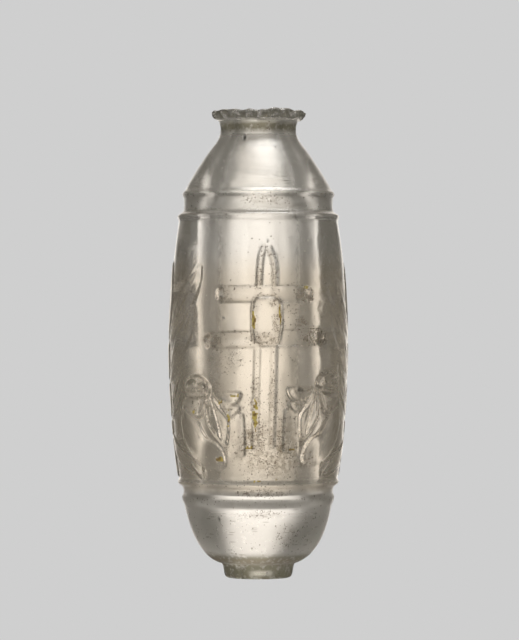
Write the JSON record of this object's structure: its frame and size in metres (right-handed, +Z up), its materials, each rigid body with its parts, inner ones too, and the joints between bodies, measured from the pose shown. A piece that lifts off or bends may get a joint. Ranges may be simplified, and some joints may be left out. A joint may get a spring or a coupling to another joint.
{
  "type": "rock crystal flask",
  "caption": "Small carved rock crystal flask with a barrel body, ringed ends, a disc foot, a drilled hollow and a broken flared lip.",
  "frame": {"origin": "centre of the foot's underside", "axes": "+Z up along the flask's axis to the mouth, -Y to the front with the main cross, +X to its right"},
  "size_m": [0.0386, 0.039, 0.0999],
  "materials": {
    "rock_crystal": "polished rock crystal, worn, with brown deposits in the cuts"
  },
  "bodies": {
    "root": {"flask": "rock_crystal"}
  },
  "joints": []
}
